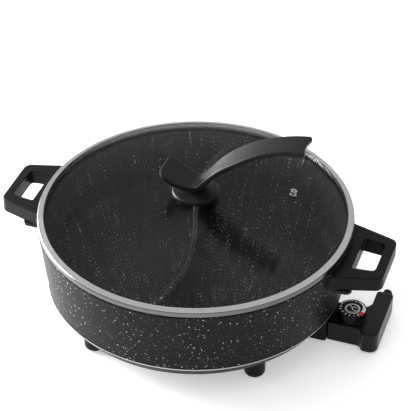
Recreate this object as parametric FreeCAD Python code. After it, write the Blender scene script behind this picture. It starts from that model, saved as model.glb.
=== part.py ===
import FreeCAD, Part
import math
import os

# Electric hot pot with a cast S-shaped divider, a plug-in thermostat and a lift-off glass lid.
# Millimetres, +Z up. The origin is on the table, on the pot's axis.
# +X runs along the two handles, towards the plug-in controller.

Vec = FreeCAD.Vector
Z_AXIS = Vec(0, 0, 1)
X_AXIS = Vec(1, 0, 0)
Y_AXIS = Vec(0, 1, 0)
ORIGIN = Vec(0, 0, 0)

# Clearances
GAP = 0.3            # between pieces that slide or turn past each other
SEAT = 0.1           # between pieces that are screwed or pushed together
SHAFT_GAP = 0.05     # radial, shaft in its bush

# Heights of the stack, from the table up
FOOT_H = 28.3
TRAY_H = 13.8
WALL_H = 74.9
TRAY_Z = FOOT_H
PAN_Z = TRAY_Z + TRAY_H
RIM_Z = PAN_Z + WALL_H
LID_Z = RIM_Z + SEAT

# Pan
RIM_R = 165.0
WALL_DRAFT = 7.7
WALL_FOOT_R = RIM_R - WALL_DRAFT
RIM_W = 5.2
WALL_T = 4.2
FLOOR_T = 5.0
INSIDE_CORNER_R = 12.0
RIM_ROUND = 1.1
EDGE_BEAD_H = 1.3
EDGE_BEAD_OUT = 0.5

# Divider between the two soups
DIVIDER_SWING = 17.5
DIVIDER_T = 5.6
DIVIDER_DROP = 5.0
DIVIDER_ROUND = 1.6
DIVIDER_STATIONS = 9

# Base tray under the heating element
TRAY_TOP_R = WALL_FOOT_R - 0.9
TRAY_FLARE = 7.8
TRAY_FOOT_R = TRAY_TOP_R - TRAY_FLARE
TRAY_T = 1.2
TRAY_ROUND = 4.0
TRAY_BEAD_H = 1.6
TRAY_BEAD_W = 5.0
TRAY_BEADS_R = (0.24 * TRAY_FOOT_R, 0.44 * TRAY_FOOT_R)

# Feet
FOOT_R = 11.0
FOOT_INSET = 19.1
FOOT_CIRCLE_R = TRAY_FOOT_R - FOOT_INSET
FOOT_ANGLES = (43.2, 125.7, 234.3, 316.8)
FOOT_ROUND = 5.5
FOOT_NECK_R = 9.6
FOOT_NECK_H = 5.0

# Screws
SCREW_R = 2.0
SCREW_HEAD_R = 3.4
SCREW_HEAD_H = 2.6
SCREW_BITE = 8.0
RECESS_W = 1.0
RECESS_DEPTH = 1.3
BOSS_R = 5.0
FOOT_WELL_R = SCREW_HEAD_R + 2 * SEAT
FOOT_WELL_H = 19.0

# Heating element, pressed between two ribs under the pan
SHEATH_R = 3.3
COIL_R = 96.0
COIL_LEAD_R = 12.0
RIB_T = 2.4
RIB_H = 5.6
PIN_Y = 11.0
PIN_Z = 14.0
PIN_R = 2.0
PIN_L = 18.0
DROP_BEND_R = 8.0
DROP_X = COIL_R + 24.0
SHEATH_END_X = DROP_X + DROP_BEND_R
BEAD_R = 3.6
BEAD_L = 3.0

# Probe well, a cast lug under the pan
WELL_W = 13.0
WELL_L = 28.0
WELL_X1 = COIL_R + 16.0
WELL_X0 = WELL_X1 - WELL_L
WELL_BELOW = 6.5
WELL_ROUND = 2.0
PROBE_R = 3.0
PROBE_TIP_X = WELL_X0 + 4.0

# Terminal shroud under the tray
SHROUD_X1 = TRAY_FOOT_R + 2.4
SHROUD_X0 = COIL_R - 22.0
SHROUD_HALF_W = 22.0
SHROUD_Z0 = 3.0
SHROUD_T = 2.6
SHROUD_FLOOR_T = 1.6
SHROUD_ROUND = 3.0
SHROUD_SCREW_X = SHROUD_X0 + 10.0
SHROUD_SCREW_Y = 15.0

# Handles
HANDLE_TOP_DROP = 6.0
HANDLE_T = 16.6
HANDLE_REACH = 42.8
HANDLE_END_X = RIM_R + HANDLE_REACH
HANDLE_END_HALF_W = 32.6
HANDLE_TAPER = 16.4
HANDLE_CORNER_R = 9.0
HANDLE_EDGE_R = 1.6
HOLE_X0 = RIM_R + 9.4
HOLE_X1 = HANDLE_END_X - 10.0
HOLE_HALF_W = 23.2
HOLE_TAPER = 5.7
HOLE_CORNER_R = 5.0
HOLE_INNER_R = 1.5
BRACKET_X = RIM_R + 7.5
BRACKET_Y = 39.0
BRACKET_R = 6.5
BRACKET_T = 3.0

# Plug-in controller
NECK_HALF_W = 18.0
NECK_L = 37.0
NOSE_HALF_W = 16.0
NOSE_L = 20.0
NOSE_X0 = SHROUD_X1 - NOSE_L
NOSE_INSET = 3.0
CTRL_Z0 = 2.0
CTRL_TOP_Z = 26.0
CTRL_SPLIT_Z = PIN_Z
CTRL_T = 2.2
CTRL_EDGE_R = 1.6
BAR_X0 = SHROUD_X1 + NECK_L
BAR_W = 18.0
BAR_X1 = BAR_X0 + BAR_W
BAR_Y0 = -NECK_HALF_W - 6.5
BAR_Y1 = NECK_HALF_W + 31.0
BAR_NEAR_R = 9.0
BAR_FAR_R = 3.5
NECK_FAR_R = 11.0
NECK_NEAR_R = 6.0
NECK_END_R = 1.0
BAR_NEAR_IN_R = 5.0
CTRL_BOSS_R = 3.6
CTRL_SCREW_R = 1.5
CTRL_SCREWS = (
    (BAR_X1 - 9.5, BAR_Y0 + 10.5),
    (BAR_X1 - 9.0, BAR_Y1 - 11.0),
    (SHROUD_X1 + 7.0, NECK_HALF_W - 5.5),
)
SLEEVE_R = 3.4
SLEEVE_L = 18.0
SLEEVE_SLOT = 0.8

# Dial
DIAL_X = SHROUD_X1 + 21.9
DIAL_R = 14.8
DIAL_FOOT_R = 15.6
DIAL_FOOT_H = 1.2
DIAL_TOP_Z = CTRL_TOP_Z + 10.0
DIAL_EDGE_R = 0.8
DIAL_PLATE_R = 14.0
DIAL_CAP_R = 7.0
DIAL_CAP_RISE = 0.5
DIAL_RECESS = 0.8
DIAL_ROOF = 4.0
SHAFT_R = 3.0
SHAFT_FLAT = 2.2
SHAFT_Z0 = 6.0
SWITCH_L = 24.0
SWITCH_W = 20.0
SWITCH_Z0 = CTRL_Z0 + CTRL_T + 2 * SEAT
SWITCH_H = 7.0
SWITCH_ROUND = 2.0
BUSH_R = 5.0
BUSH_H = 8.0
LEAF_L = 16.0
LEAF_W = 3.0
LEAF_T = 0.6
LEAF_GAP = 2.0
STUD_R = 1.2

# Cord gland
GLAND_X = (BAR_X0 + BAR_X1) / 2
GLAND_Z = 15.0
GLAND_R = 4.9
GLAND_L = 14.0
GLAND_NECK_R = 3.8
GLAND_BORE_R = 3.0
GLAND_FLANGE_R = 6.2
GLAND_FLANGE_T = 1.5
GLAND_RIBS = 3
GLAND_GROOVE = 0.7

# Lid, with heights above the rim
LID_R = RIM_R - 0.5
BAND_T = 0.8
BAND_W = 6.9
BAND_LIP_R = LID_R - BAND_W
SKIRT_PLAY = 1.2
SKIRT_R = RIM_R - RIM_W - SKIRT_PLAY
SKIRT_DEPTH = 4.0
GLASS_R = LID_R - BAND_T - 0.5
GLASS_T = 4.0
GLASS_EDGE = 5.1
GLASS_RISE = 22.9
GLASS_APEX = GLASS_EDGE + GLASS_RISE
SCREW_HOLE_R = 3.2
VENT_R = 2.1
VENT_FLANGE_R = 3.4
VENT_T = 0.5
VENT_DIST = 103.0
VENT_ANGLE = 27.0
GASKET_T = 0.8

# Lid handle
DISC_R = 24.5
DISC_EDGE_H = 4.0
DISC_SHOULDER_H = 2.6
DISC_CROWN_H = 5.0
DISC_BEVEL = 1.2
STEM_R = 9.5
STEM_TOP_R = 11.5
STEM_H = 4.0
LID_SCREW_R = 1.75
WASHER_R = 9.0
WASHER_T = 1.2
GRIP_BASE = GLASS_APEX + GASKET_T + DISC_EDGE_H + DISC_CROWN_H
# middle of the arched grip's thickness, as (along X, above the grip's base)
GRIP_ARCH = ((-35.0, 17.3), (-27.0, 12.2), (-17.0, 7.0), (-8.0, 4.0), (-1.0, 2.9), (5.0, 4.6), (12.0, 11.6),
             (20.0, 21.6), (31.0, 33.2), (46.0, 45.2), (62.0, 55.8), (78.0, 63.9), (95.0, 69.9),
             (110.0, 72.7), (122.0, 73.3))
# half of the grip's width along its length
GRIP_HALF_W = ((-35.0, 17.6), (-27.0, 17.9), (-17.0, 17.4), (-8.0, 15.6), (2.0, 13.4), (12.0, 14.2),
               (28.0, 16.4), (45.0, 17.3), (62.0, 16.5), (80.0, 15.2), (98.0, 15.2), (122.0, 17.0))
GRIP_T = 5.4
GRIP_EDGE_R = 1.2
GRIP_HEEL_R = 8.0
GRIP_TIP_R = 3.5
GRIP_SCOOP_R = 38.0
GRIP_TIP_X = 119.5


def at(shape, x=0.0, y=0.0, z=0.0):
    """A moved copy."""
    moved = shape.copy()
    moved.translate(Vec(x, y, z))
    return moved


def turned(shape, angle, centre=ORIGIN, axis=Z_AXIS):
    """A turned copy."""
    copy = shape.copy()
    copy.rotate(centre, axis, angle)
    return copy


def polar(radius, angle):
    """A point at a radius and an angle in degrees, as (x, y)."""
    return radius * math.cos(math.radians(angle)), radius * math.sin(math.radians(angle))


def cylinder(radius, z0, z1, x=0.0, y=0.0):
    """An upright cylinder from z0 to z1."""
    return Part.makeCylinder(radius, z1 - z0, Vec(x, y, z0))


def block(x0, x1, y0, y1, z0, z1):
    """A box between two corners."""
    return Part.makeBox(x1 - x0, y1 - y0, z1 - z0, Vec(x0, y0, z0))


def revolved(points):
    """A solid of revolution about Z from a closed outline of (radius, height)."""
    corners = [Vec(r, 0, z) for r, z in points]
    wire = Part.makePolygon(corners + corners[:1])
    return Part.Face(wire).revolve(ORIGIN, Z_AXIS, 360)


def rounded_wire(corners, z):
    """A closed outline of (x, y, corner radius) at height z, with arcs at its corners."""
    edges = []
    ends = []
    count = len(corners)
    for i, (x, y, radius) in enumerate(corners):
        here = Vec(x, y, z)
        before = Vec(corners[i - 1][0], corners[i - 1][1], z) - here
        after = Vec(corners[(i + 1) % count][0], corners[(i + 1) % count][1], z) - here
        before.normalize()
        after.normalize()
        half = before.getAngle(after) / 2
        reach = radius / math.tan(half)
        start = here + before * reach
        end = here + after * reach
        middle = before + after
        middle.normalize()
        centre = here + middle * (radius / math.sin(half))
        ends.append((start, centre - middle * radius, end))
    for i, (start, top, end) in enumerate(ends):
        edges.append(Part.Arc(start, top, end).toShape())
        following = ends[(i + 1) % count][0]
        if end.distanceToPoint(following) > 1e-6:
            edges.append(Part.LineSegment(end, following).toShape())
    return Part.Wire(edges)


def rounded_prism(corners, z0, z1):
    """A prism on a rounded outline."""
    return Part.Face(rounded_wire(corners, z0)).extrude(Vec(0, 0, z1 - z0))


def circle_edges(shape, radius, z):
    """The round edges of a shape at one radius and height."""
    found = []
    for edge in shape.Edges:
        box = edge.BoundBox
        flat = box.ZLength < 1e-3 and abs(box.ZMin - z) < 1e-3
        if flat and abs(box.XMax - radius) < 1e-3 and abs(box.XMin + radius) < 1e-3:
            found.append(edge)
    return found


def level_edges(shape, z):
    """The edges of a shape that lie in one level plane."""
    return [e for e in shape.Edges if e.BoundBox.ZLength < 1e-3 and abs(e.BoundBox.ZMin - z) < 1e-3]


def spline(points, y=0.0):
    """A smooth curve through (x, z) points in an upright plane."""
    curve = Part.BSplineCurve()
    curve.interpolate([Vec(x, y, z) for x, z in points])
    return curve.toShape()


def screw(shank_r, length, head_r, head_h):
    """A pan-head screw with a cross recess: the head's top is at z = 0 and the shank points up."""
    head = Part.makeCylinder(head_r, head_h)
    head = head.makeFillet(head_h * 0.45, circle_edges(head, head_r, 0))
    body = head.fuse(cylinder(shank_r, head_h, head_h + length))
    arm = head_r * 0.6
    for x, y in ((arm, RECESS_W / 2), (RECESS_W / 2, arm)):
        body = body.cut(block(-x, x, -y, y, 0, min(RECESS_DEPTH, head_h / 2)))
    return body


def outer_wall_r(z):
    """Radius of the pan's outer wall at a height."""
    return WALL_FOOT_R + (RIM_R - WALL_FOOT_R) * (z - PAN_Z) / WALL_H


def wall_cone(gap):
    """The pan's outside as a plain cone, grown by a gap."""
    return revolved([(0, PAN_Z), (outer_wall_r(PAN_Z) + gap, PAN_Z), (RIM_R + gap, RIM_Z), (0, RIM_Z)])


def inner_cavity():
    """The space inside the pan, above its floor."""
    floor_z = PAN_Z + FLOOR_T
    foot_r = WALL_FOOT_R - WALL_T
    shape = revolved([(0, floor_z), (foot_r, floor_z), (RIM_R - RIM_W, RIM_Z), (0, RIM_Z)])
    return shape.makeFillet(INSIDE_CORNER_R, circle_edges(shape, foot_r, floor_z))


def divider():
    """The S-shaped wall between the two soups, cut to the inside of the pan."""
    reach = RIM_R - RIM_W / 2
    sides = []
    for side in (-1, 1):
        points = []
        for i in range(DIVIDER_STATIONS):
            y = -reach + 2 * reach * i / (DIVIDER_STATIONS - 1)
            slope = -DIVIDER_SWING * math.pi / RIM_R * math.cos(math.pi * y / RIM_R)
            x = -DIVIDER_SWING * math.sin(math.pi * y / RIM_R)
            half = side * DIVIDER_T / 2 / math.hypot(1, slope)
            points.append(Vec(x + half, y - half * slope, 0))
        sides.append(points)
    curves = []
    for points in (sides[0], sides[1][::-1]):
        curve = Part.BSplineCurve()
        curve.interpolate(points)
        curves.append(curve.toShape())
    close = [Part.LineSegment(sides[0][-1], sides[1][-1]).toShape(),
             Part.LineSegment(sides[1][0], sides[0][0]).toShape()]
    face = Part.Face(Part.Wire([curves[0], close[0], curves[1], close[1]]))
    top = RIM_Z - DIVIDER_DROP
    wall = at(face, z=PAN_Z + FLOOR_T / 2).extrude(Vec(0, 0, top - PAN_Z - FLOOR_T / 2))
    long_edges = [e for e in level_edges(wall, top) if e.Length > reach]
    wall = wall.makeFillet(DIVIDER_ROUND, long_edges)
    room = revolved([(0, PAN_Z + 1), (WALL_FOOT_R - 2, PAN_Z + 1), (RIM_R - RIM_W / 2, RIM_Z), (0, RIM_Z)])
    return wall.common(room)


def handle_brackets():
    """Four welded tabs on the wall, under the handles, which the handle screws pass through."""
    top = RIM_Z - HANDLE_TOP_DROP - HANDLE_T - SEAT
    low = top - BRACKET_T
    tab = cylinder(BRACKET_R, low, top, BRACKET_X)
    tab = tab.fuse(block(RIM_R - 2 * BRACKET_R, BRACKET_X, -BRACKET_R, BRACKET_R, low, top))
    tab = tab.cut(cylinder(SCREW_R + SEAT, low, top, BRACKET_X))
    wall = wall_cone(SEAT)
    return Part.makeCompound([turned(at(tab, y=y).cut(wall), side) for side in (0, 180) for y in (-BRACKET_Y, BRACKET_Y)])


def foot_places():
    """Where the feet stand."""
    return [polar(FOOT_CIRCLE_R, angle) for angle in FOOT_ANGLES]


def shroud_screw_places():
    """Where the shroud's screws go."""
    return [(SHROUD_SCREW_X, side * SHROUD_SCREW_Y) for side in (-1, 1)]


def underside_bosses():
    """Cast posts under the pan that take the screws of the feet and of the shroud."""
    bosses = []
    for x, y in foot_places() + shroud_screw_places():
        boss = cylinder(BOSS_R, TRAY_Z + TRAY_T, PAN_Z + 1, x, y)
        bosses.append(boss.cut(cylinder(SCREW_R, TRAY_Z, TRAY_Z + TRAY_T + SCREW_BITE + 1, x, y)))
    return bosses


def element_ribs():
    """Two ribs under the pan that hold the heating element, open where its ends leave."""
    ribs = []
    for inner in (COIL_R - SHEATH_R - SEAT - RIB_T, COIL_R + SHEATH_R + SEAT):
        ring = cylinder(inner + RIB_T, PAN_Z - RIB_H, PAN_Z + 1)
        ribs.append(ring.cut(cylinder(inner, PAN_Z - RIB_H - 1, PAN_Z + 2)))
    gap = 2 * (PIN_Y + COIL_LEAD_R / 2)
    notch = block(0, RIM_R, -gap, gap, PAN_Z - RIB_H - 1, PAN_Z)
    return [rib.cut(notch) for rib in ribs]


def pan():
    """The cast pan with its divider, handle lugs and the ribs and posts on its underside."""
    bead_r = WALL_FOOT_R + EDGE_BEAD_OUT
    body = revolved([(0, PAN_Z), (bead_r, PAN_Z), (bead_r, PAN_Z + EDGE_BEAD_H),
                     (outer_wall_r(PAN_Z + EDGE_BEAD_H), PAN_Z + EDGE_BEAD_H), (RIM_R, RIM_Z), (0, RIM_Z)])
    body = body.cut(inner_cavity())
    rim = circle_edges(body, RIM_R, RIM_Z) + circle_edges(body, RIM_R - RIM_W, RIM_Z)
    body = body.makeFillet(RIM_ROUND, rim)
    return body.fuse([divider()] + underside_bosses() + element_ribs()).removeSplitter()


def tray_floor(z):
    """The tray's floor from the axis outwards at a height, as (radius, height), with its pressed beads."""
    points = [(0, z)]
    for radius in TRAY_BEADS_R:
        points += [(radius - TRAY_BEAD_W / 2, z), (radius - TRAY_BEAD_W / 4, z + TRAY_BEAD_H),
                   (radius + TRAY_BEAD_W / 4, z + TRAY_BEAD_H), (radius + TRAY_BEAD_W / 2, z)]
    return points


def base_tray():
    """A shallow pressed tray that closes the pan's underside, with two stiffening beads."""
    floor = TRAY_Z
    inside_r = TRAY_FOOT_R - TRAY_T
    outer = revolved(tray_floor(floor) + [(TRAY_FOOT_R, floor), (TRAY_TOP_R, PAN_Z), (0, PAN_Z)])
    inner = revolved(tray_floor(floor + TRAY_T) + [(inside_r, floor + TRAY_T), (TRAY_TOP_R - TRAY_T, PAN_Z), (0, PAN_Z)])
    outer = outer.makeFillet(TRAY_ROUND, circle_edges(outer, TRAY_FOOT_R, floor))
    inner = inner.makeFillet(TRAY_ROUND - TRAY_T, circle_edges(inner, inside_r, floor + TRAY_T))
    tray = outer.cut(inner)
    for x, y in foot_places() + shroud_screw_places():
        tray = tray.cut(cylinder(SCREW_R + GAP, floor, floor + 3 * TRAY_T, x, y))
    side = WELL_W / 2 + TRAY_T
    tray = tray.cut(block(WELL_X0 - TRAY_T, WELL_X1 + TRAY_T, -side, side, floor, PAN_Z - TRAY_T))
    reach = SHEATH_R + 2 * TRAY_T
    leads = PIN_Y + SHEATH_R + TRAY_T
    return tray.cut(block(DROP_X - reach, DROP_X + reach, -leads, leads, floor, PAN_Z - TRAY_T))


def foot():
    """A moulded foot with a domed end and a deep screw well."""
    body = revolved([(0, 0), (FOOT_R, 0), (FOOT_R, FOOT_H - FOOT_NECK_H), (FOOT_NECK_R, FOOT_H), (0, FOOT_H)])
    body = body.makeFillet(FOOT_ROUND, circle_edges(body, FOOT_R, 0))
    body = body.cut(cylinder(FOOT_WELL_R, 0, FOOT_WELL_H))
    return body.cut(cylinder(SCREW_R + SEAT, 0, FOOT_H))


def feet():
    """The four feet."""
    return Part.makeCompound([at(foot(), x, y) for x, y in foot_places()])


def foot_screws():
    """One screw up through each foot and the tray into the pan's post."""
    head_z = FOOT_WELL_H - SCREW_HEAD_H
    length = TRAY_Z + TRAY_T + SCREW_BITE - FOOT_WELL_H
    one = screw(SCREW_R - SHAFT_GAP, length, SCREW_HEAD_R, SCREW_HEAD_H)
    return Part.makeCompound([at(one, x, y, head_z) for x, y in foot_places()])


def element_path(side):
    """Half of the element's centre line, from the back of the ring to one cold end."""
    z = PAN_Z - SHEATH_R - SEAT
    lead_x = math.sqrt((COIL_R + COIL_LEAD_R) ** 2 - (PIN_Y + COIL_LEAD_R) ** 2)
    lead_y = PIN_Y + COIL_LEAD_R
    start = math.degrees(math.atan2(lead_y, lead_x))
    middle = (180 + start) / 2

    def point(x, y, height):
        return Vec(x, side * y, height)

    def arc(a, b, c):
        return Part.Arc(a, b, c).toShape()

    def line(a, b):
        return Part.LineSegment(a, b).toShape()

    ring_end = point(*polar(COIL_R, start), z)
    turn = math.radians(start + 270) / 2
    lead_mid = point(lead_x + COIL_LEAD_R * math.cos(turn + math.pi / 2),
                     lead_y + COIL_LEAD_R * math.sin(turn + math.pi / 2), z)
    lead_end = point(lead_x, PIN_Y, z)
    r = DROP_BEND_R
    k = r * math.sqrt(0.5)
    top = point(DROP_X - r, PIN_Y, z)
    down = point(DROP_X, PIN_Y, z - r)
    low = point(DROP_X, PIN_Y, PIN_Z + r)
    out = point(DROP_X + r, PIN_Y, PIN_Z)
    edges = [
        arc(point(-COIL_R, 0, z), point(*polar(COIL_R, middle), z), ring_end),
        arc(ring_end, lead_mid, lead_end),
        line(lead_end, top),
        arc(top, point(DROP_X - r + k, PIN_Y, z - r + k), down),
        line(down, low),
        arc(low, point(DROP_X + r - k, PIN_Y, PIN_Z + r - k), out),
    ]
    return edges


def heating_element():
    """The sheathed element: a ring whose two cold ends bend down and out to the terminals."""
    halves = []
    for side in (-1, 1):
        path = Part.Wire(element_path(side))
        z = PAN_Z - SHEATH_R - SEAT
        ring = Part.Wire([Part.makeCircle(SHEATH_R, Vec(-COIL_R, 0, z), Y_AXIS)])
        halves.append(path.makePipeShell([ring], True, True))
    return halves[0].fuse(halves[1]).removeSplitter()


def lying(shape, x, y, z):
    """A piece turned from +Z to +X and put at a place."""
    return at(turned(shape, 90, ORIGIN, Y_AXIS), x, y, z)


def terminal_pins():
    """The two pins on the element's cold ends."""
    pin = Part.makeCylinder(PIN_R, PIN_L)
    pin = pin.makeFillet(PIN_R * 0.7, circle_edges(pin, PIN_R, PIN_L))
    return Part.makeCompound([lying(pin, SHEATH_END_X, side * PIN_Y, PIN_Z) for side in (-1, 1)])


def insulator_beads():
    """Ceramic collars where the pins leave the sheath."""
    bead = Part.makeCylinder(BEAD_R, BEAD_L).cut(Part.makeCylinder(PIN_R + SEAT, BEAD_L))
    return Part.makeCompound([lying(bead, SHEATH_END_X, side * PIN_Y, PIN_Z) for side in (-1, 1)])


def probe_well():
    """The cast lug that holds the probe against the pan's heat."""
    side = WELL_W / 2
    lug = block(WELL_X0, WELL_X1, -side, side, PIN_Z - WELL_BELOW, PAN_Z)
    upright = [e for e in lug.Edges if e.BoundBox.ZLength > WELL_W]
    lug = lug.makeFillet(WELL_ROUND, upright)
    bore = lying(Part.makeCylinder(PROBE_R + GAP, WELL_X1), PROBE_TIP_X - PROBE_R - GAP, 0, PIN_Z)
    return lug.cut(bore)


def terminal_shroud():
    """The moulded socket under the tray that the controller's nose plugs into."""
    w = SHROUD_HALF_W
    r = SHROUD_ROUND
    t = SHROUD_T
    outline = [(SHROUD_X0, -w, r), (SHROUD_X1, -w, r), (SHROUD_X1, w, r), (SHROUD_X0, w, r)]
    shell = rounded_prism(outline, SHROUD_Z0, TRAY_Z)
    inside = block(SHROUD_X0 + t, SHROUD_X1 - t, t - w, w - t, SHROUD_Z0 + SHROUD_FLOOR_T, TRAY_Z)
    shell = shell.cut(inside)
    mouth_w = NOSE_HALF_W + GAP
    mouth_z0 = CTRL_Z0 + NOSE_INSET - GAP
    mouth_z1 = CTRL_TOP_Z - NOSE_INSET + GAP
    shell = shell.cut(block(SHROUD_X1 - 2 * t, SHROUD_X1, -mouth_w, mouth_w, mouth_z0, mouth_z1))
    for x, y in shroud_screw_places():
        post = cylinder(2 * SCREW_R, SHROUD_Z0, TRAY_Z, x, y)
        shell = shell.fuse(post).cut(cylinder(SCREW_R + SEAT, SHROUD_Z0, TRAY_Z, x, y))
    return shell


def shroud_screws():
    """Two screws up through the shroud into the pan's posts."""
    length = TRAY_Z + TRAY_T + SCREW_BITE - SHROUD_Z0
    head_h = SHROUD_Z0 / 2
    head_z = SHROUD_Z0 - head_h
    one = screw(SCREW_R - SHAFT_GAP, length, SCREW_HEAD_R, head_h)
    return Part.makeCompound([at(one, x, y, head_z) for x, y in shroud_screw_places()])


def side_handle():
    """A moulded loop handle, tapered outwards, hollowed to the curve of the wall."""
    top = RIM_Z - HANDLE_TOP_DROP
    bottom = top - HANDLE_T
    root_x = RIM_R - HANDLE_REACH / 2
    spread = math.tan(math.radians(HANDLE_TAPER))
    root_w = HANDLE_END_HALF_W + (HANDLE_END_X - root_x) * spread
    r = HANDLE_CORNER_R
    outline = [(root_x, -root_w, HOLE_INNER_R), (HANDLE_END_X, -HANDLE_END_HALF_W, r),
               (HANDLE_END_X, HANDLE_END_HALF_W, r), (root_x, root_w, HOLE_INNER_R)]
    body = rounded_prism(outline, bottom, top)
    body = body.makeFillet(HANDLE_EDGE_R, level_edges(body, top) + level_edges(body, bottom))
    hole_w = HOLE_HALF_W + (HOLE_X1 - HOLE_X0) * math.tan(math.radians(HOLE_TAPER))
    hole = rounded_prism([(HOLE_X0, -hole_w, HOLE_INNER_R), (HOLE_X1, -HOLE_HALF_W, HOLE_CORNER_R),
                          (HOLE_X1, HOLE_HALF_W, HOLE_CORNER_R), (HOLE_X0, hole_w, HOLE_INNER_R)],
                         bottom - 1, top + 1)
    body = body.cut(hole).cut(wall_cone(SEAT))
    for y in (-BRACKET_Y, BRACKET_Y):
        body = body.cut(cylinder(SCREW_R, bottom, bottom + SCREW_BITE + SEAT, BRACKET_X, y))
    return body


def handle_screws():
    """Two screws for each handle, from below through the cast lugs."""
    head_z = RIM_Z - HANDLE_TOP_DROP - HANDLE_T - SEAT - BRACKET_T - SCREW_HEAD_H
    one = screw(SCREW_R - SHAFT_GAP, BRACKET_T + SCREW_BITE, SCREW_HEAD_R, SCREW_HEAD_H)
    screws = []
    for side in (0, 180):
        for y in (-BRACKET_Y, BRACKET_Y):
            screws.append(turned(at(one, BRACKET_X, y, head_z), side))
    return Part.makeCompound(screws)


def controller_outline(inset):
    """The L-shaped outline of the controller, neck towards the pot, moved inwards by an inset."""
    i = inset
    end_x = SHROUD_X1 + GAP + i
    flare = NECK_NEAR_R / 3
    return [
        (end_x, i - NECK_HALF_W, NECK_END_R),
        (BAR_X0 + i - flare, i - NECK_HALF_W, NECK_NEAR_R),
        (BAR_X0 + i + flare, BAR_Y0 + i, BAR_NEAR_IN_R),
        (BAR_X1 - i, BAR_Y0 + i, BAR_NEAR_R - i),
        (BAR_X1 - i, BAR_Y1 - i, BAR_FAR_R - i),
        (BAR_X0 + i, BAR_Y1 - i, BAR_FAR_R - i),
        (BAR_X0 + i, NECK_HALF_W - i, NECK_FAR_R + i),
        (end_x, NECK_HALF_W - i, NECK_END_R),
    ]


def nose_bore(radius, y):
    """A hole along the plug nose."""
    return lying(Part.makeCylinder(radius, NOSE_L + 2 * CTRL_T), NOSE_X0, y, PIN_Z)


def controller_shell():
    """Both halves of the hollow controller housing in one, with its plug nose and screw posts."""
    body = rounded_prism(controller_outline(0), CTRL_Z0, CTRL_TOP_Z)
    body = body.makeFillet(CTRL_EDGE_R, level_edges(body, CTRL_Z0) + level_edges(body, CTRL_TOP_Z))
    nose_z0 = CTRL_Z0 + NOSE_INSET
    nose_z1 = CTRL_TOP_Z - NOSE_INSET
    nose = block(NOSE_X0, SHROUD_X1 + 2 * CTRL_T, -NOSE_HALF_W, NOSE_HALF_W, nose_z0, nose_z1)
    room = rounded_prism(controller_outline(CTRL_T), CTRL_Z0 + CTRL_T, CTRL_TOP_Z - CTRL_T)
    shell = body.cut(room).fuse(nose)
    for side in (-1, 1):
        shell = shell.cut(nose_bore(SLEEVE_R + SEAT, side * PIN_Y))
    shell = shell.cut(nose_bore(PROBE_R + SEAT, 0))
    for x, y in CTRL_SCREWS:
        shell = shell.fuse(cylinder(CTRL_BOSS_R, CTRL_Z0, CTRL_TOP_Z - CTRL_T / 2, x, y))
    for x, y in CTRL_SCREWS:
        shell = shell.cut(cylinder(CTRL_SCREW_R + SEAT, CTRL_Z0, CTRL_TOP_Z - CTRL_T, x, y))
        shell = shell.cut(cylinder(CTRL_BOSS_R - CTRL_T / 3, CTRL_Z0, CTRL_Z0 + CTRL_T, x, y))
    shell = shell.cut(cylinder(SHAFT_R + GAP, CTRL_SPLIT_Z, CTRL_TOP_Z, DIAL_X, 0))
    gland_hole = turned(Part.makeCylinder(GLAND_NECK_R + SEAT, 2 * CTRL_T), -90, ORIGIN, X_AXIS)
    return shell.cut(at(gland_hole, GLAND_X, BAR_Y1 - 2 * CTRL_T, GLAND_Z))


def controller_top(shell):
    """The upper half of the controller housing."""
    room = shell.BoundBox
    return shell.common(block(room.XMin, room.XMax, room.YMin, room.YMax, CTRL_SPLIT_Z + SEAT / 2, CTRL_TOP_Z))


def controller_base(shell):
    """The lower half of the controller housing."""
    room = shell.BoundBox
    return shell.common(block(room.XMin, room.XMax, room.YMin, room.YMax, CTRL_Z0, CTRL_SPLIT_Z - SEAT / 2))


def controller_screws():
    """Three screws from below that hold the controller's halves together."""
    head_h = 0.8 * CTRL_T
    length = (CTRL_TOP_Z - CTRL_Z0) / 2
    one = screw(CTRL_SCREW_R - SHAFT_GAP, length, CTRL_BOSS_R - CTRL_T / 3 - SEAT, head_h)
    return Part.makeCompound([at(one, x, y, CTRL_Z0 + CTRL_T - head_h) for x, y in CTRL_SCREWS])


def contact_sleeves():
    """Two sprung sleeves in the nose that grip the pot's pins."""
    sleeve = Part.makeCylinder(SLEEVE_R, SLEEVE_L)
    sleeve = sleeve.cut(Part.makeCylinder(PIN_R + SHAFT_GAP, SLEEVE_L - PIN_R))
    sleeve = sleeve.cut(block(-SLEEVE_R, SLEEVE_R, -SLEEVE_SLOT / 2, SLEEVE_SLOT / 2, 0, 0.6 * SLEEVE_L))
    return Part.makeCompound([lying(sleeve, NOSE_X0 + SLEEVE_SLOT, side * PIN_Y, PIN_Z) for side in (-1, 1)])


def probe():
    """The steel heat probe with a round tip."""
    end_x = DIAL_X - SWITCH_L / 2 - SEAT
    tube = Part.makeCylinder(PROBE_R, end_x - PROBE_TIP_X)
    tube = tube.makeFillet(0.9 * PROBE_R, circle_edges(tube, PROBE_R, 0))
    return lying(tube, PROBE_TIP_X, 0, PIN_Z)


def thermostat_switch():
    """The switch block under the dial, with the bush that the dial's shaft turns in."""
    half_l = SWITCH_L / 2
    half_w = SWITCH_W / 2
    top = PIN_Z + PROBE_R + LEAF_T
    body = block(DIAL_X - half_l, DIAL_X + half_l, -half_w, half_w, SWITCH_Z0, SWITCH_Z0 + SWITCH_H)
    upright = [e for e in body.Edges if e.BoundBox.ZLength > SWITCH_H / 2]
    body = body.makeFillet(SWITCH_ROUND, upright)
    body = body.fuse(cylinder(BUSH_R, SWITCH_Z0, SWITCH_Z0 + SWITCH_H + BUSH_H, DIAL_X))
    clamp = block(DIAL_X - half_l, DIAL_X, -PROBE_R - LEAF_T, PROBE_R + LEAF_T, SWITCH_Z0 + SWITCH_H, top)
    return body.fuse(clamp).cut(cylinder(SHAFT_R + SHAFT_GAP, SHAFT_Z0 - SEAT, CTRL_TOP_Z, DIAL_X))


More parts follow.
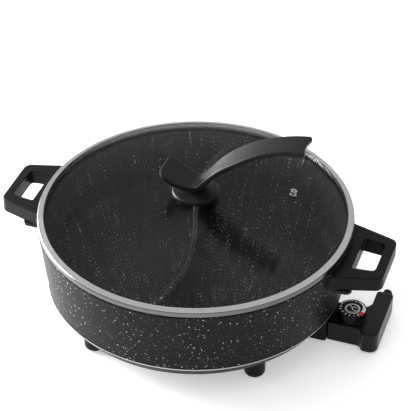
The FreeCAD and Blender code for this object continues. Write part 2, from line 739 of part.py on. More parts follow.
def switch_leaves():
    """Two contact leaves on the switch block."""
    z = SWITCH_Z0 + SWITCH_H
    leaves = []
    for side in (-1, 1):
        y = side * (BUSH_R + LEAF_GAP + LEAF_W / 2)
        strip = block(DIAL_X - LEAF_L / 2, DIAL_X + LEAF_L / 2, y - LEAF_W / 2, y + LEAF_W / 2, z, z + LEAF_T)
        x = DIAL_X + side * (LEAF_L / 2 - 2 * STUD_R)
        leaves.append(strip.fuse(cylinder(STUD_R, z, z + LEAF_T + STUD_R, x, y)))
    return Part.makeCompound(leaves)


def dial_shaft():
    """The dial's shaft with a flat at its upper end."""
    top = DIAL_TOP_Z - DIAL_ROOF
    shaft = cylinder(SHAFT_R, SHAFT_Z0, top)
    shaft = shaft.cut(block(SHAFT_FLAT, SHAFT_R, -SHAFT_R, SHAFT_R, CTRL_TOP_Z + GAP, top))
    return at(shaft, DIAL_X)


def dial_knob():
    """The round knob with a dished top for the printed plate and the cap."""
    z0 = CTRL_TOP_Z + GAP
    foot_z = z0 + DIAL_FOOT_H
    body = revolved([(0, z0), (DIAL_FOOT_R, z0), (DIAL_FOOT_R, foot_z), (DIAL_R, foot_z + DIAL_FOOT_H),
                     (DIAL_R, DIAL_TOP_Z), (0, DIAL_TOP_Z)])
    body = body.cut(cylinder(DIAL_PLATE_R + SHAFT_GAP, DIAL_TOP_Z - DIAL_RECESS, DIAL_TOP_Z))
    roof = DIAL_TOP_Z - DIAL_ROOF + SEAT
    socket = cylinder(SHAFT_R + SHAFT_GAP, z0, roof)
    return at(body.cut(socket.cut(block(SHAFT_FLAT + SHAFT_GAP, BUSH_R, -BUSH_R, BUSH_R, z0, roof))), DIAL_X)


def dial_plate():
    """The flat ring on the knob that carries the scale."""
    z0 = DIAL_TOP_Z - DIAL_RECESS
    ring = cylinder(DIAL_PLATE_R, z0, DIAL_TOP_Z - SEAT, DIAL_X)
    return ring.cut(cylinder(DIAL_CAP_R + SEAT, z0, DIAL_TOP_Z, DIAL_X))


def dial_cap():
    """The low crowned cap in the middle of the knob."""
    top = DIAL_TOP_Z + DIAL_CAP_RISE
    cap = cylinder(DIAL_CAP_R, DIAL_TOP_Z - DIAL_RECESS, top)
    return at(cap.makeFillet(DIAL_CAP_RISE, circle_edges(cap, DIAL_CAP_R, top)), DIAL_X)


def cord_gland():
    """The ribbed rubber gland in the controller's far end, bored for the cord."""
    body = Part.makeCylinder(GLAND_FLANGE_R, GLAND_FLANGE_T)
    body = body.fuse(cylinder(GLAND_NECK_R, 0, GLAND_FLANGE_T + 2 * CTRL_T))
    outside = GLAND_FLANGE_T + CTRL_T + SEAT
    end = outside + GLAND_L
    sleeve = cylinder(GLAND_R, outside, end)
    body = body.fuse(sleeve.makeFillet(GLAND_R / 2, circle_edges(sleeve, GLAND_R, end)))
    pitch = GLAND_L / (GLAND_RIBS + 2)
    for i in range(GLAND_RIBS):
        z = outside + pitch * (i + 1)
        ring = cylinder(GLAND_R, z, z + GLAND_GROOVE).cut(cylinder(GLAND_R - GLAND_GROOVE, z, z + GLAND_GROOVE))
        body = body.cut(ring)
    body = body.cut(cylinder(GLAND_BORE_R, 0, end))
    return at(turned(body, -90, ORIGIN, X_AXIS), GLAND_X, BAR_Y1 - CTRL_T - GLAND_FLANGE_T - SEAT / 2, GLAND_Z)


def dome_radius():
    """Radius of the sphere that the glass's outer face lies on."""
    return (GLASS_R ** 2 + GLASS_RISE ** 2) / (2 * GLASS_RISE)


def dome_centre_z():
    """Height of that sphere's centre."""
    return LID_Z + GLASS_APEX - dome_radius()


def dome_height(distance):
    """Height of the glass's outer face at a distance from the axis."""
    return dome_centre_z() + math.sqrt(dome_radius() ** 2 - distance ** 2)


def dome(offset):
    """The sphere of the glass's outer face, grown by an offset."""
    return Part.makeSphere(dome_radius() + offset, Vec(0, 0, dome_centre_z()))


def vent_place(shape):
    """Seats a piece made about Z at the origin in the vent hole, square to the glass."""
    x, y = polar(VENT_DIST, VENT_ANGLE)
    lean = math.degrees(math.asin(VENT_DIST / dome_radius()))
    leaned = turned(shape, lean, ORIGIN, Y_AXIS)
    return at(turned(leaned, VENT_ANGLE), x, y, dome_height(VENT_DIST))


def lid_glass():
    """The domed glass with a centre hole and a vent hole."""
    glass = dome(0).common(cylinder(GLASS_R, LID_Z, LID_Z + GLASS_APEX)).cut(dome(-GLASS_T))
    glass = glass.cut(cylinder(SCREW_HOLE_R, LID_Z, LID_Z + GLASS_APEX))
    return glass.cut(vent_place(cylinder(VENT_R + SEAT, -2 * GLASS_T, GLASS_T)))


def lid_band():
    """The steel band folded round the glass's edge, with a skirt that drops inside the rim."""
    t = BAND_T
    z = LID_Z
    lip_z = dome_height(BAND_LIP_R) + SEAT
    edge_z = dome_height(GLASS_R) + SEAT
    return revolved([
        (BAND_LIP_R, lip_z), (BAND_LIP_R, lip_z + t / 2), (BAND_LIP_R + t, lip_z + t),
        (LID_R - t, edge_z + t), (LID_R, edge_z), (LID_R, z + t), (LID_R - t, z),
        (SKIRT_R, z), (SKIRT_R, z - SKIRT_DEPTH), (SKIRT_R - t, z - SKIRT_DEPTH),
        (SKIRT_R - t, z + t), (GLASS_R + SEAT, z + t), (GLASS_R + SEAT, edge_z),
    ])


def lid_gasket():
    """The soft ring between the glass and the handle's disc."""
    low = LID_Z + GLASS_EDGE
    high = LID_Z + GRIP_BASE
    ring = cylinder(DISC_R - DISC_BEVEL, low, high).cut(cylinder(STEM_R, low, high))
    return dome(GASKET_T).cut(dome(SEAT / 2)).common(ring)


def lid_disc():
    """The round foot of the lid's handle, seated on the gasket."""
    z = LID_Z + GLASS_APEX + GASKET_T
    edge = z + DISC_EDGE_H
    crown = LID_Z + GRIP_BASE
    body = revolved([(0, z - DISC_EDGE_H), (DISC_R, z - DISC_EDGE_H), (DISC_R, edge - DISC_BEVEL),
                     (DISC_R - DISC_BEVEL, edge), (1.5 * STEM_R, edge + DISC_SHOULDER_H),
                     (STEM_R, crown - DISC_BEVEL), (STEM_R, crown), (0, crown)])
    return body.cut(dome(GASKET_T + SEAT / 2)).cut(cylinder(LID_SCREW_R + SEAT, z - DISC_EDGE_H, crown))


def grip_side():
    """The grip seen from the side: its arch with an even thickness about it, as a face in the XZ plane."""
    wide = 2 * max(w for x, w in GRIP_HALF_W)
    rows = []
    for offset in (GRIP_T / 2, -GRIP_T / 2):
        row = []
        for i, (x, z) in enumerate(GRIP_ARCH):
            back = GRIP_ARCH[max(i - 1, 0)]
            ahead = GRIP_ARCH[min(i + 1, len(GRIP_ARCH) - 1)]
            slope = math.atan2(ahead[1] - back[1], ahead[0] - back[0])
            row.append(Vec(x - offset * math.sin(slope), -wide, LID_Z + GRIP_BASE + z + offset * math.cos(slope)))
        curve = Part.BSplineCurve()
        curve.interpolate(row)
        rows.append(curve.toShape())
    upper, lower = rows
    ends = [Part.LineSegment(upper.Vertexes[i].Point, lower.Vertexes[i].Point).toShape() for i in (0, -1)]
    face = Part.Face(Part.Wire([upper, ends[1], lower, ends[0]]))
    return face.extrude(Vec(0, 2 * wide, 0))


def grip_plan():
    """The grip seen from above, as a prism: waisted over the stem, rounded at the heel, scooped at the tip."""
    sides = []
    for sign in (-1, 1):
        curve = Part.BSplineCurve()
        curve.interpolate([Vec(x, sign * w, LID_Z) for x, w in GRIP_HALF_W])
        sides.append(curve.toShape())
    near, far = sides
    ends = [Part.LineSegment(near.Vertexes[i].Point, far.Vertexes[i].Point).toShape() for i in (0, -1)]
    height = 2 * max(z for x, z in GRIP_ARCH)
    prism = Part.Face(Part.Wire([near, ends[1], far, ends[0]])).extrude(Vec(0, 0, GRIP_BASE + height))
    heel = [e for e in upright_edges(prism) if e.BoundBox.XMax < 0]
    prism = prism.makeFillet(GRIP_HEEL_R, heel)
    scoop_x = GRIP_TIP_X + math.sqrt(GRIP_SCOOP_R ** 2 - GRIP_HALF_W[-1][1] ** 2)
    prism = prism.cut(cylinder(GRIP_SCOOP_R, LID_Z, LID_Z + GRIP_BASE + height, scoop_x))
    tip = [e for e in upright_edges(prism) if e.BoundBox.XMin > GRIP_TIP_X / 2]
    return prism.makeFillet(GRIP_TIP_R, tip)


def upright_edges(shape):
    """The edges of a shape that stand straight up."""
    return [e for e in shape.Edges if e.BoundBox.XLength < GAP and e.BoundBox.YLength < GAP]


def lid_grip():
    """The arched grip: a short rest arm, a waist over the stem and a long arm with a scooped tip."""
    band = grip_side().common(grip_plan())
    band = band.makeFillet(GRIP_EDGE_R, grip_rims(band))
    stem_z = LID_Z + GRIP_BASE
    stem = Part.makeCone(STEM_R - SEAT, STEM_TOP_R, STEM_H, Vec(0, 0, stem_z))
    return band.fuse(stem).cut(cylinder(LID_SCREW_R, stem_z, stem_z + 0.8 * STEM_H))


def grip_rims(band):
    """The edges round the grip's upper and lower faces."""
    return [e for e in band.Edges if len(e.Vertexes) == 2 and e not in upright_edges(band)]


def lid_washer():
    """The steel washer under the glass."""
    top = dome_height(0) - GLASS_T - 2 * SEAT
    return cylinder(WASHER_R, top - WASHER_T, top).cut(cylinder(LID_SCREW_R + SEAT, top - WASHER_T, top))


def lid_screw():
    """The screw up through the washer, glass and disc into the grip."""
    washer_z = dome_height(0) - GLASS_T - 2 * SEAT - WASHER_T
    end_z = LID_Z + GRIP_BASE + 0.8 * STEM_H - SEAT
    one = screw(LID_SCREW_R - SHAFT_GAP, end_z - washer_z, 1.4 * SCREW_HEAD_R, SCREW_HEAD_H)
    return at(one, z=washer_z - SCREW_HEAD_H)


def vent_eyelet():
    """The steel eyelet in the glass's vent hole."""
    depth = GLASS_T + VENT_T + SEAT
    tube = cylinder(VENT_R, -depth, VENT_T + SEAT)
    for z in (SEAT, -depth):
        tube = tube.fuse(cylinder(VENT_FLANGE_R, z, z + VENT_T))
    return vent_place(tube.cut(cylinder(VENT_R - VENT_T, -depth, VENT_T + SEAT)))


def nodes():
    """Every sub-part by name."""
    shell = controller_shell()
    handle = side_handle()
    return {
        "pan": pan(),
        "base_tray": base_tray(),
        "feet": feet(),
        "foot_screws": foot_screws(),
        "heating_element": heating_element(),
        "terminal_pins": terminal_pins(),
        "insulator_beads": insulator_beads(),
        "probe_well": probe_well(),
        "terminal_shroud": terminal_shroud(),
        "shroud_screws": shroud_screws(),
        "right_handle": handle,
        "left_handle": turned(handle, 180),
        "handle_brackets": handle_brackets(),
        "handle_screws": handle_screws(),
        "controller_top": controller_top(shell),
        "controller_base": controller_base(shell),
        "controller_screws": controller_screws(),
        "contact_sleeves": contact_sleeves(),
        "probe": probe(),
        "thermostat_switch": thermostat_switch(),
        "switch_leaves": switch_leaves(),
        "cord_gland": cord_gland(),
        "dial_shaft": dial_shaft(),
        "dial_knob": dial_knob(),
        "dial_plate": dial_plate(),
        "dial_cap": dial_cap(),
        "lid_glass": lid_glass(),
        "lid_band": lid_band(),
        "lid_gasket": lid_gasket(),
        "lid_disc": lid_disc(),
        "lid_grip": lid_grip(),
        "lid_washer": lid_washer(),
        "lid_screw": lid_screw(),
        "vent_eyelet": vent_eyelet(),
    }


os.makedirs("parts", exist_ok=True)
for name, shape in nodes().items():
    solids = Part.makeCompound(shape.Solids) if len(shape.Solids) > 1 else shape.Solids[0]
    solids.exportStep("parts/" + name + ".step")
    print(name, len(shape.Solids), "valid" if shape.isValid() else "INVALID", round(shape.Volume, 1))
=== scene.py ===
import math
import bmesh
import bpy
from mathutils import Matrix, Vector


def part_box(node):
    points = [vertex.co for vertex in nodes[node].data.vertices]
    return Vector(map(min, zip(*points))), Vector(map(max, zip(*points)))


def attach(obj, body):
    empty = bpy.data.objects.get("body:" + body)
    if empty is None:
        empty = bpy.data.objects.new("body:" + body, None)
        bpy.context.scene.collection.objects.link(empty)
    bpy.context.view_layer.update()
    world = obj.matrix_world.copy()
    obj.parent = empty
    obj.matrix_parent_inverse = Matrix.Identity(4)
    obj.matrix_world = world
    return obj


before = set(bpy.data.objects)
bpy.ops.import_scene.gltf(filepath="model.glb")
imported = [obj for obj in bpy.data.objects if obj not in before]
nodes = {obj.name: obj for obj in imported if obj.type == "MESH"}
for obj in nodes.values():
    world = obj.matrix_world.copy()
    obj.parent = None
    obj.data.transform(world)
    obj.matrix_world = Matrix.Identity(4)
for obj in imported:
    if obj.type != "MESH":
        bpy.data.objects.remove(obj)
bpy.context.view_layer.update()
MM = 0.001

# The bare metal at the foot of the pan's wall, as heights
BARE_LOW = 42.11 * MM
BARE_HIGH = 43.35 * MM

# The fine lines of painted shade on the lid's band, at the lip's fold and the outer edge,
# as radii
LIP_SHADE_FADE_IN = (0.1571, 0.1574)
LIP_SHADE_FADE_OUT = (0.1582, 0.1579)
RIM_SHADE_FADE_IN = (0.1637, 0.1641)

# The dial's print. Text sizes and radii are in millimetres, angles in degrees
PLATE_PRINT_THICKNESS = 0.05 * MM
CAP_PRINT_THICKNESS = 0.02 * MM
NUMBER_SIZE = 4.4
NUMBER_RADIUS = 11.4
NUMBER_ANGLES = (316, 292, 268, 244, 220)
TICK_ANGLES = (84, 178, 196)
TICK_WIDTH = 5
UNIT_SIZE = 8.5
UNIT_TURN = -10

# The floor and the sky
FLOOR_HALF_WIDTH = 6.0
FLOOR_Z = -0.0003
FLOOR_GLOW = 0.38
SKY_STRENGTH = 0.72

# The camera. Pixel values are those of a picture of PICTURE_WIDTH pixels
HEADING = math.radians(19.4)
ELEVATION = 0.65308
ROLL = -0.0047
DISTANCE = 1.665
AIM = Vector((0, 0, 0.117))
AIM_PIXEL = (195.79, 214.17)
MIDDLE_PIXEL = (208, 205.5)
PICTURE_WIDTH = 416
FOCAL_PIXELS = 1600
SENSOR_WIDTH = 36.0


# Helpers

def new_material(name):
    mat = bpy.data.materials.new(name)
    mat.use_nodes = True
    return mat, mat.node_tree, mat.node_tree.nodes["Principled BSDF"]


def new_object(name, data):
    made = bpy.data.objects.new(name, data)
    bpy.context.scene.collection.objects.link(made)
    return made


def add(tree, kind, **settings):
    node = tree.nodes.new(kind)
    for key, value in settings.items():
        setattr(node, key, value)
    return node


def set_inputs(node, **values):
    """Sets inputs by name, with _ for each space."""
    for name, value in values.items():
        node.inputs[name.replace("_", " ")].default_value = value


def coords(tree):
    return add(tree, "ShaderNodeTexCoord").outputs["Object"]


def split(tree, vector):
    """The x, y and z of a vector."""
    node = add(tree, "ShaderNodeSeparateXYZ")
    tree.links.new(vector, node.inputs[0])
    return node.outputs


def noise(tree, vector, scale, detail, rough=0.5):
    node = add(tree, "ShaderNodeTexNoise")
    tree.links.new(vector, node.inputs["Vector"])
    set_inputs(node, Scale=scale, Detail=detail, Roughness=rough)
    return node.outputs["Fac"]


def ramp(tree, value, low, high, to_low=0.0, to_high=1.0):
    node = add(tree, "ShaderNodeMapRange")
    tree.links.new(value, node.inputs["Value"])
    set_inputs(node, From_Min=low, From_Max=high, To_Min=to_low, To_Max=to_high)
    return node.outputs["Result"]


def maths(tree, operation, a, b):
    """Joins two values, each a number or a node's output, by an operation."""
    node = add(tree, "ShaderNodeMath", operation=operation)
    for socket, value in zip(node.inputs, (a, b)):
        if isinstance(value, (int, float)):
            socket.default_value = value
        else:
            tree.links.new(value, socket)
    return node.outputs[0]


def mix(tree, factor, dark, light):
    """A blend of two colours, each a tuple or a node's output."""
    node = add(tree, "ShaderNodeMix", data_type="RGBA")
    tree.links.new(factor, node.inputs["Factor"])
    for socket, value in ((node.inputs[6], dark), (node.inputs[7], light)):
        if isinstance(value, tuple):
            socket.default_value = value + (1.0,)
        else:
            tree.links.new(value, socket)
    return node.outputs[2]


def bump(tree, shader, height, strength, distance):
    node = add(tree, "ShaderNodeBump")
    set_inputs(node, Strength=strength, Distance=distance)
    tree.links.new(height, node.inputs["Height"])
    tree.links.new(node.outputs["Normal"], shader.inputs["Normal"])


def specks(tree, vector, cell, radius, share):
    """White dots of uneven size, as a mask from 0 to 1.

    share is the share of the cells that hold a dot.
    """
    cells = add(tree, "ShaderNodeTexVoronoi", feature="F1")
    tree.links.new(vector, cells.inputs["Vector"])
    set_inputs(cells, Scale=1.0 / cell, Randomness=1.0)
    pick = add(tree, "ShaderNodeSeparateColor")
    tree.links.new(cells.outputs["Color"], pick.inputs["Color"])
    chosen = maths(tree, "LESS_THAN", pick.outputs[0], share)
    full = radius / cell
    size = ramp(tree, pick.outputs[1], 0.0, 1.0, full * 0.45, full)
    inside = maths(tree, "SUBTRACT", size, cells.outputs["Distance"])
    dot = ramp(tree, inside, 0.0, 0.22 * full)
    return maths(tree, "MULTIPLY", dot, chosen)


# Materials

def granite():
    """Dark coating with pale specks, and bare metal at the foot of the wall."""
    mat, tree, shader = new_material("granite_coating")
    where = coords(tree)
    bent = add(tree, "ShaderNodeVectorMath", operation="ADD")
    shift = add(tree, "ShaderNodeVectorMath", operation="SCALE")
    tree.links.new(where, bent.inputs[0])
    tree.links.new(noise(tree, where, 900, 2), shift.inputs[0])
    set_inputs(shift, Scale=0.0006)
    tree.links.new(shift.outputs[0], bent.inputs[1])
    spot = bent.outputs[0]
    crowd = ramp(tree, noise(tree, where, 14, 2), 0.3, 0.7, 0.45, 1.0)
    big = specks(tree, spot, 0.0040, 0.00080, crowd)
    small = specks(tree, spot, 0.0021, 0.00045, crowd)
    faint = maths(tree, "MULTIPLY", small, 0.4)
    dots = maths(tree, "MAXIMUM", big, faint)
    mottle = noise(tree, where, 260, 4, 0.6)
    body = mix(tree, mottle, (0.0025, 0.0025, 0.0024), (0.0065, 0.0065, 0.0060))
    speckled = mix(tree, dots, body, (0.62, 0.62, 0.61))
    height = split(tree, where)[2]
    below = maths(tree, "LESS_THAN", height, BARE_HIGH)
    above = maths(tree, "GREATER_THAN", height, BARE_LOW)
    bare = maths(tree, "MULTIPLY", below, above)
    colour = mix(tree, bare, speckled, (0.42, 0.42, 0.42))
    tree.links.new(colour, shader.inputs["Base Color"])
    tree.links.new(bare, shader.inputs["Metallic"])
    rough = ramp(tree, mottle, 0.2, 0.8, 0.36, 0.48)
    tree.links.new(rough, shader.inputs["Roughness"])
    set_inputs(shader, Specular_IOR_Level=0.10)
    raised = maths(tree, "MULTIPLY", dots, 0.6)
    grain = maths(tree, "ADD", noise(tree, where, 1500, 2), raised)
    bump(tree, shader, grain, 0.25, 0.00025)
    return mat


def moulding(name, colour, light, rough, grain=0.15, level=0.2):
    """Plastic, enamel, rubber or ceramic with a clouded tone and a fine grain."""
    mat, tree, shader = new_material(name)
    where = coords(tree)
    cloud = noise(tree, where, 45, 4, 0.6)
    tree.links.new(mix(tree, cloud, colour, light), shader.inputs["Base Color"])
    patches = noise(tree, where, 220, 5, 0.65)
    gloss = ramp(tree, patches, 0.3, 0.7, rough - 0.05, rough + 0.06)
    tree.links.new(gloss, shader.inputs["Roughness"])
    set_inputs(shader, Specular_IOR_Level=level)
    bump(tree, shader, noise(tree, where, 2600, 2), grain, 0.0001)
    return mat


def metal(name, colour, light, rough, stretch=(1, 1, 1), scale=300, grain=0.1):
    """Streaked metal. stretch packs the streaks closer along each axis."""
    mat, tree, shader = new_material(name)
    space = add(tree, "ShaderNodeMapping")
    set_inputs(space, Scale=stretch)
    tree.links.new(coords(tree), space.inputs["Vector"])
    streak = noise(tree, space.outputs[0], scale, 5, 0.6)
    tree.links.new(mix(tree, streak, colour, light), shader.inputs["Base Color"])
    set_inputs(shader, Metallic=1.0)
    gloss = ramp(tree, streak, 0.3, 0.7, rough - 0.04, rough + 0.08)
    tree.links.new(gloss, shader.inputs["Roughness"])
    bump(tree, shader, streak, grain, 0.00008)
    return mat


def band_steel():
    """Polished steel with a fine line of painted shade on the band's lip and outer edge.
    """
    mat, tree, shader = new_material("polished_steel")
    where = coords(tree)
    place = split(tree, where)
    flat = add(tree, "ShaderNodeCombineXYZ")
    tree.links.new(place[0], flat.inputs[0])
    tree.links.new(place[1], flat.inputs[1])
    reach = add(tree, "ShaderNodeVectorMath", operation="LENGTH")
    tree.links.new(flat.outputs[0], reach.inputs[0])
    radius = reach.outputs["Value"]
    # A fine line of painted shade at the lip's fold, and one along the outer edge
    lip_shade = maths(tree, "MULTIPLY", ramp(tree, radius, *LIP_SHADE_FADE_IN),
                ramp(tree, radius, *LIP_SHADE_FADE_OUT))
    painted_shade_lines = maths(tree, "MAXIMUM", lip_shade, ramp(tree, radius, *RIM_SHADE_FADE_IN))
    streak = noise(tree, where, 160, 5, 0.6)
    bright = mix(tree, streak, (0.50, 0.50, 0.505), (0.60, 0.60, 0.605))
    # Painted shade: the steel turns dark grey along both lines
    colour = mix(tree, painted_shade_lines, bright, (0.13, 0.13, 0.13))
    tree.links.new(colour, shader.inputs["Base Color"])
    set_inputs(shader, Metallic=1.0)
    gloss = ramp(tree, streak, 0.3, 0.7, 0.14, 0.24)
    tree.links.new(gloss, shader.inputs["Roughness"])
    return mat


def clear_glass():
    """Clear glass, thinned by its alpha and index so that the inside shows."""
    mat, tree, shader = new_material("tempered_glass")
    haze = noise(tree, coords(tree), 30, 4, 0.6)
    tint = mix(tree, haze, (0.975, 0.985, 0.98), (0.99, 0.995, 0.993))
    tree.links.new(tint, shader.inputs["Base Color"])
    set_inputs(shader, Transmission_Weight=1.0, IOR=1.04, Alpha=0.26, Coat_Weight=0.8)
    gloss = ramp(tree, haze, 0.3, 0.7, 0.0, 0.015)
    tree.links.new(gloss, shader.inputs["Roughness"])
    return mat


def paint(name, colour, light):
    mat, tree, shader = new_material(name)
    wear = noise(tree, coords(tree), 900, 4, 0.6)
    tree.links.new(mix(tree, wear, colour, light), shader.inputs["Base Color"])
    gloss = ramp(tree, wear, 0.3, 0.7, 0.35, 0.5)
    tree.links.new(gloss, shader.inputs["Roughness"])
    return mat


coating = granite()
handle_black = moulding("handle_bakelite", (0.0035, 0.0035, 0.0033),
                        (0.0065, 0.0065, 0.0062), 0.40, level=0.12)
grip_black = moulding("grip_bakelite", (0.005, 0.005, 0.0048),
                      (0.009, 0.009, 0.0088), 0.36, level=0.18)
housing_black = moulding("housing_black", (0.0035, 0.0035, 0.0035),
                         (0.0065, 0.0065, 0.0063), 0.30, 0.2)
knob_black = moulding("knob_black", (0.003, 0.003, 0.003),
                      (0.005, 0.005, 0.005), 0.3, 0.05, 0.12)
tray_black = moulding("tray_enamel", (0.006, 0.006, 0.006),
                      (0.012, 0.012, 0.012), 0.5, 0.3)
rubber_black = moulding("gland_rubber", (0.008, 0.008, 0.008),
                        (0.015, 0.015, 0.015), 0.6, 0.3)
switch_cream = moulding("switch_cream", (0.42, 0.40, 0.34), (0.5, 0.48, 0.42), 0.5)
ceramic = moulding("bead_ceramic", (0.72, 0.70, 0.64), (0.82, 0.80, 0.75), 0.4)
steel = band_steel()
probe_steel = metal("probe_steel", (0.5, 0.5, 0.51), (0.66, 0.66, 0.67), 0.24,
                    (1, 12, 12), 200)
zinc = metal("bright_zinc", (0.46, 0.46, 0.48), (0.62, 0.62, 0.63), 0.28)
sheath = metal("element_sheath", (0.16, 0.15, 0.14), (0.26, 0.25, 0.24), 0.42)
casting = metal("bare_casting", (0.42, 0.42, 0.43), (0.54, 0.54, 0.55), 0.5, grain=0.4)
brass = metal("contact_brass", (0.55, 0.38, 0.13), (0.68, 0.50, 0.20), 0.3)
glass = clear_glass()
print_white = paint("scale_white", (0.84, 0.84, 0.84), (0.92, 0.92, 0.92))
print_red = paint("scale_red", (0.80, 0.006, 0.03), (0.88, 0.015, 0.045))

FINISH = {
    coating: ["pan"],
    tray_black: ["base_tray", "handle_brackets"],
    handle_black: ["left_handle", "right_handle", "terminal_shroud", "feet"],
    grip_black: ["lid_grip", "lid_disc"],
    housing_black: ["controller_top", "controller_base"],
    knob_black: ["dial_knob", "dial_plate", "dial_cap"],
    rubber_black: ["cord_gland", "lid_gasket"],
    switch_cream: ["thermostat_switch"],
    ceramic: ["insulator_beads"],
    steel: ["lid_band", "vent_eyelet"],
    probe_steel: ["probe"],
    zinc: ["foot_screws", "shroud_screws", "handle_screws", "controller_screws",
           "terminal_pins", "dial_shaft", "lid_washer", "lid_screw"],
    sheath: ["heating_element"],
    casting: ["probe_well"],
    brass: ["contact_sleeves", "switch_leaves"],
    glass: ["lid_glass"],
}
for material, names in FINISH.items():
    for name in names:
        mesh = nodes[name].data
        mesh.materials.clear()
        mesh.materials.append(material)


# The dial's printed scale

def polar(radius, angle):
    a = math.radians(angle)
    return (radius * MM * math.cos(a), radius * MM * math.sin(a), 0)


def ring_piece(bm, r0, r1, start, end, steps, taper=None):
    """A flat arc from r0 to r1, in degrees. taper gives r0 at the end."""
    loops = []
    for i in range(steps + 1):
        t = i / steps
        angle = start + (end - start) * t
        inner = r0 if taper is None else r0 + (taper - r0) * t
        loops.append([bm.verts.new(polar(r, angle)) for r in (inner, r1)])
    for a, b in zip(loops, loops[1:]):
        face = bm.faces.new((a[0], a[1], b[1], b[0]))
        face.normal_update()
        if face.normal.z < 0:
            face.normal_flip()


def add_text(bm, words, size, radius, angle, turn):
    """Flat lettering centred at a radius and an angle, and turned."""
    curve = bpy.data.curves.new("words", "FONT")
    curve.body = words
    curve.size = size * MM
    curve.align_x = "CENTER"
    curve.align_y = "CENTER"
    holder = new_object("words", curve)
    bpy.context.view_layer.update()
    mesh = bpy.data.meshes.new_from_object(holder)
    place = Matrix.Translation(polar(radius, angle))
    mesh.transform(place @ Matrix.Rotation(math.radians(turn), 4, "Z"))
    bm.from_mesh(mesh)
    bpy.data.objects.remove(holder)
    bpy.data.curves.remove(curve)
    bpy.data.meshes.remove(mesh)


def make_piece(name, bm, material, body, at, thickness):
    """Gives flat print a little thickness and puts it on its body."""
    bmesh.ops.remove_doubles(bm, verts=bm.verts, dist=1e-7)
    made = bmesh.ops.extrude_face_region(bm, geom=bm.faces[:])
    lifted = [v for v in made["geom"] if isinstance(v, bmesh.types.BMVert)]
    bmesh.ops.translate(bm, verts=lifted, vec=(0, 0, thickness))
    bmesh.ops.recalc_face_normals(bm, faces=bm.faces[:])
    bmesh.ops.translate(bm, verts=bm.verts, vec=at)
    mesh = bpy.data.meshes.new(name)
    bm.to_mesh(mesh)
    bm.free()
    mesh.materials.append(material)
    piece = new_object(name, mesh)
    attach(piece, body)


def dial_scale():
    plate_low, plate_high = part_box("dial_plate")
    centre = (plate_low + plate_high) / 2
    plate_top = Vector((centre[0], centre[1], plate_high[2]))
    white = bmesh.new()
    ring_piece(white, 12.9, 13.7, 96, 168, 30)
    ring_piece(white, 9.6, 13.7, -12, 78, 40, 12.9)
    ring_piece(white, 7.2, 8.0, 0, 360, 72)
    for number, angle in enumerate(NUMBER_ANGLES):
        add_text(white, str(number), NUMBER_SIZE, NUMBER_RADIUS, angle, angle + 90)
    for angle in TICK_ANGLES:
        ring_piece(white, 11.2, 13.7, angle, angle + TICK_WIDTH, 3)
    make_piece("dial_scale", white, print_white, "dial", plate_top, PLATE_PRINT_THICKNESS)
    red = bmesh.new()
    ring_piece(red, 9.4, 13.9, -36, -16, 6)
    make_piece("dial_start_mark", red, print_red, "dial", plate_top, PLATE_PRINT_THICKNESS)
    cap_low, cap_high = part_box("dial_cap")
    cap_top = Vector((centre[0], centre[1], cap_high[2]))
    unit = bmesh.new()
    add_text(unit, "°C", UNIT_SIZE, 0, 0, UNIT_TURN)
    ring_piece(unit, 6.1, 6.7, 0, 360, 60)
    make_piece("dial_unit", unit, print_white, "dial", cap_top, CAP_PRINT_THICKNESS)


dial_scale()


# Floor, light and camera

def stage_floor():
    """A pale floor that glows to the camera and in reflections alone."""
    bm = bmesh.new()
    bmesh.ops.create_grid(bm, x_segments=1, y_segments=1, size=FLOOR_HALF_WIDTH)
    mesh = bpy.data.meshes.new("floor")
    bm.to_mesh(mesh)
    bm.free()
    floor = new_object("floor", mesh)
    floor.location.z = FLOOR_Z
    mat, tree, shader = new_material("pale_floor")
    shader.inputs["Base Color"].default_value = (0.80, 0.80, 0.797, 1)
    shader.inputs["Emission Color"].default_value = (1.0, 1.0, 0.995, 1)
    rays = add(tree, "ShaderNodeLightPath").outputs
    seen = maths(tree, "MAXIMUM", rays["Is Camera Ray"], rays["Is Glossy Ray"])
    seen = maths(tree, "MAXIMUM", seen, rays["Is Transmission Ray"])
    glow = maths(tree, "MULTIPLY", seen, FLOOR_GLOW)
    tree.links.new(glow, shader.inputs["Emission Strength"])
    set_inputs(shader, Roughness=0.75, Specular_IOR_Level=0.2)
    mesh.materials.append(mat)


def seen_from_camera(across, away, up):
    """A place given across and away from the camera's heading, and above the table."""
    c, s = math.cos(HEADING), math.sin(HEADING)
    return Vector((across * c - away * s, across * s + away * c, up))


def look_along(direction):
    return direction.to_track_quat("-Z", "Y")


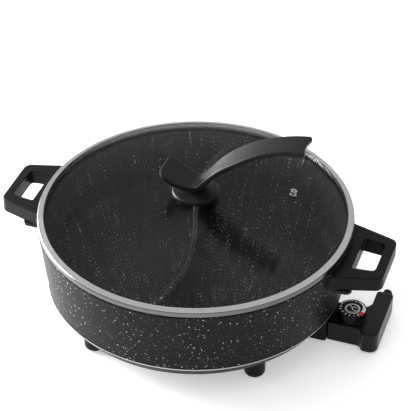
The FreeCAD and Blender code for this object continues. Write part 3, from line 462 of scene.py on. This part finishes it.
def area_light(name, place, target, size, power, size_y=None, glossy=True):
    place = seen_from_camera(*place)
    lamp = bpy.data.lights.new(name, "AREA")
    lamp.energy = power
    lamp.size = size
    if size_y:
        lamp.shape = "RECTANGLE"
        lamp.size_y = size_y
    holder = new_object(name, lamp)
    holder.location = place
    holder.rotation_euler = look_along(Vector(target) - place).to_euler()
    holder.visible_glossy = glossy


def studio_world():
    """An even white sky, a little darker at the horizon."""
    world = bpy.data.worlds.new("studio")
    bpy.context.scene.world = world
    world.use_nodes = True
    tree = world.node_tree
    sky = tree.nodes["Background"]
    height = split(tree, add(tree, "ShaderNodeTexCoord").outputs["Generated"])[2]
    level = ramp(tree, height, 0.0, 0.6)
    shade = mix(tree, level, (0.80, 0.80, 0.80), (1.0, 1.0, 1.0))
    tree.links.new(shade, sky.inputs["Color"])
    set_inputs(sky, Strength=SKY_STRENGTH)


def camera():
    data = bpy.data.cameras.new("camera")
    holder = new_object("camera", data)
    bpy.context.scene.camera = holder
    back = seen_from_camera(0, -math.cos(ELEVATION), math.sin(ELEVATION))
    holder.location = AIM + back * DISTANCE
    aim = look_along(-back).to_matrix()
    holder.rotation_euler = (aim @ Matrix.Rotation(ROLL, 3, "Z")).to_euler()
    data.sensor_width = SENSOR_WIDTH
    data.lens = FOCAL_PIXELS * SENSOR_WIDTH / PICTURE_WIDTH
    data.shift_x = (MIDDLE_PIXEL[0] - AIM_PIXEL[0]) / PICTURE_WIDTH
    data.shift_y = (AIM_PIXEL[1] - MIDDLE_PIXEL[1]) / PICTURE_WIDTH
    data.clip_end = 50.0


stage_floor()
studio_world()
area_light("key", (-0.8, -1.1, 1.9), (0, 0, 0.05), 1.4, 9, glossy=False)
area_light("top", (0.1, 0.6, 2.0), (0, 0, 0.1), 1.8, 11, glossy=False)
area_light("left", (-1.1, 0.45, 0.4), (0, 0, 0.06), 0.9, 50, 0.7)
camera()

scene = bpy.context.scene
scene.view_settings.view_transform = "Standard"
scene.view_settings.look = "None"
